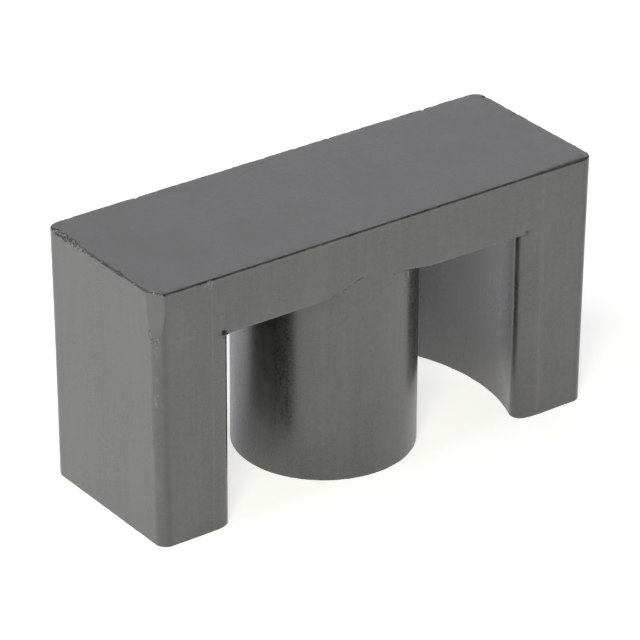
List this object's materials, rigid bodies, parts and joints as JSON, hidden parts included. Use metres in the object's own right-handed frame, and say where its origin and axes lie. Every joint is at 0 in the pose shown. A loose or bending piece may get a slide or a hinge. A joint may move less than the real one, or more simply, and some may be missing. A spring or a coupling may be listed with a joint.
{
  "type": "ferrite e core half",
  "caption": "Ferrite E core half with a round centre post, hollow inner leg faces and flat ground pole faces, for a transformer or choke.",
  "frame": {"origin": "middle of the pole faces, on the plane they share", "axes": "+X along the core from leg to leg, -Y is the front, +Z from the pole faces to the back plate"},
  "size_m": [0.0598, 0.0214, 0.0311],
  "materials": {
    "ferrite": "satin"
  },
  "bodies": {
    "root": {"core": "ferrite"}
  },
  "joints": []
}
